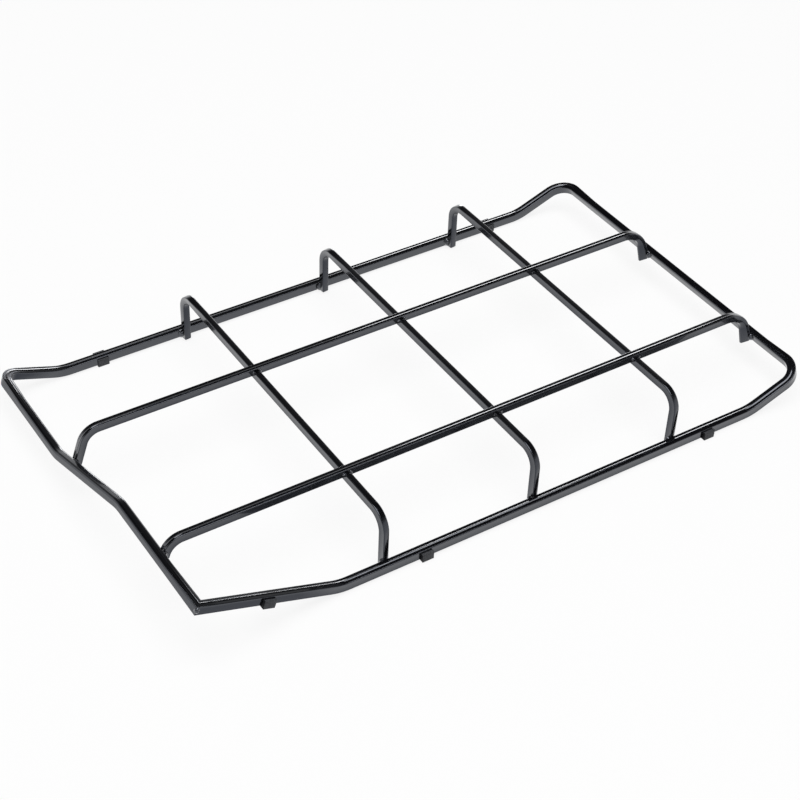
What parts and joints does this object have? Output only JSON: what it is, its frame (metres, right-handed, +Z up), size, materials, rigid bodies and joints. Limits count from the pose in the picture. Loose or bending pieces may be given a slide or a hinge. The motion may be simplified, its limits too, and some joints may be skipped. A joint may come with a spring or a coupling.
{
  "type": "hob pan support",
  "caption": "Rectangular hob pan support: a raised grid of black enamelled square bar welded inside a folded outer frame with clip-on rubber feet, to carry pans over gas burners.",
  "frame": {"origin": "under the middle of the support, on the hob top where the undersides of the feet stand", "axes": "+X along the long bars, from the stepped end towards the plain end; +Y from the front side to the rear side; +Z up"},
  "size_m": [0.4794, 0.2848, 0.0455],
  "materials": {
    "enamel": "gloss black enamel fired on steel bar",
    "rubber": "matte heat-resistant rubber"
  },
  "bodies": {
    "root": {"outer_frame": "enamel", "rear_long_bar": "enamel", "front_long_bar": "enamel", "left_cross_bar": "enamel", "middle_cross_bar": "enamel", "right_cross_bar": "enamel", "weld_beads": "enamel", "rear_left_foot": "rubber", "rear_right_foot": "rubber", "front_left_foot": "rubber", "front_middle_foot": "rubber", "front_right_foot": "rubber"}
  },
  "joints": []
}
